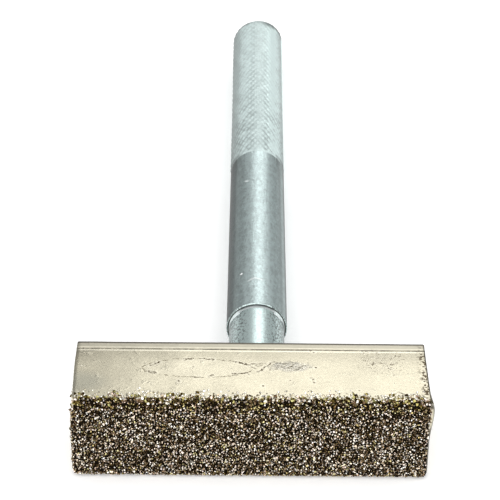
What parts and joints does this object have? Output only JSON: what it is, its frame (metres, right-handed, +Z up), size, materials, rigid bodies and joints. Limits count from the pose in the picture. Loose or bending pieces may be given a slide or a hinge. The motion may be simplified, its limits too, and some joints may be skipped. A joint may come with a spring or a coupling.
{
  "type": "diamond wheel dresser",
  "caption": "T-shaped hand dresser for grinding wheels: a plated steel bar faced with diamond grit on a round handle with a plain shank and a knurled grip.",
  "frame": {"origin": "under the middle of the whole tool, on the surface that it lies on", "axes": "+X along the head bar, +Y from the grit face to the end of the handle, +Z up from the flat of the bar"},
  "size_m": [0.045, 0.1192, 0.0114],
  "materials": {
    "nickel_plate": "dull warm nickel plate",
    "grit": "coarse diamond grains in nickel",
    "zinc_plate": "bluish zinc plate on turned steel"
  },
  "bodies": {
    "root": {"head_bar": "nickel_plate", "diamond_grit": "grit", "handle": "zinc_plate"}
  },
  "joints": []
}
